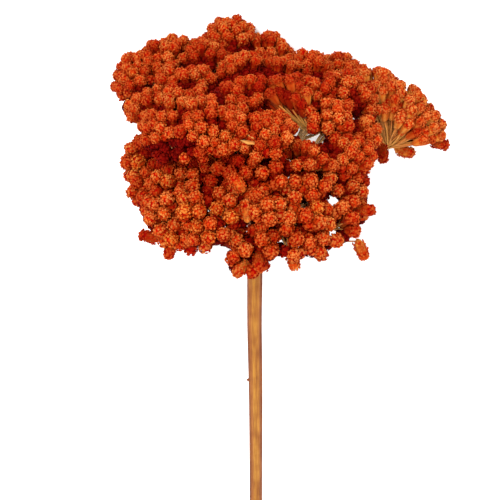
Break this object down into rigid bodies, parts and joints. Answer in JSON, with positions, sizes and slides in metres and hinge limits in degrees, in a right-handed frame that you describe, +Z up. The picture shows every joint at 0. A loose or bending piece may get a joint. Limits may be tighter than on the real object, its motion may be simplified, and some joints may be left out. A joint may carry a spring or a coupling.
{
  "type": "dried yarrow stem",
  "caption": "One cut stem of dried yarrow, lying down: a ribbed straw stalk that forks into a broad domed head of small round rust-orange florets in sprays.",
  "frame": {"origin": "middle of the bounding box's underside, on the surface that the flower lies on", "axes": "+Z up off that surface, +Y along the stem from the flower head to the cut end, +X across the head"},
  "size_m": [0.1012, 0.2038, 0.0777],
  "materials": {
    "florets": "matte, dry and granular, rust orange with dark red depths",
    "stalk": "dry straw, ochre, ribbed lengthwise, slightly silky"
  },
  "bodies": {
    "root": {"stem": "stalk", "florets_centre_1": "florets", "florets_centre_2": "florets", "florets_centre_3": "florets", "florets_centre_4": "florets", "florets_centre_fan_1": "florets", "florets_crown_1": "florets", "florets_crown_2": "florets", "florets_crown_3": "florets", "florets_crown_4": "florets", "florets_front_left_1": "florets", "florets_front_left_10": "florets", "florets_front_left_11": "florets", "florets_front_left_2": "florets", "florets_front_left_3": "florets", "florets_front_left_4": "florets", "florets_front_left_5": "florets", "florets_front_left_6": "florets", "florets_front_left_7": "florets", "florets_front_left_8": "florets", "florets_front_left_9": "florets", "florets_front_right_1": "florets", "florets_front_right_2": "florets", "florets_front_right_3": "florets", "florets_front_right_4": "florets", "florets_front_right_5": "florets", "florets_front_right_6": "florets", "florets_front_right_7": "florets", "florets_front_right_8": "florets", "florets_front_right_9": "florets", "florets_left_1": "florets", "florets_left_2": "florets", "florets_left_3": "florets", "florets_left_4": "florets", "florets_right_1": "florets", "florets_right_2": "florets", "florets_right_3": "florets", "florets_right_4": "florets", "florets_right_end_1": "florets", "florets_right_end_2": "florets", "florets_right_end_3": "florets", "florets_upper_left_1": "florets", "florets_upper_left_2": "florets", "florets_upper_left_3": "florets", "florets_upper_left_4": "florets", "florets_upper_right_1": "florets", "florets_upper_right_2": "florets", "florets_upper_right_3": "florets", "florets_upper_right_4": "florets"}
  },
  "joints": []
}
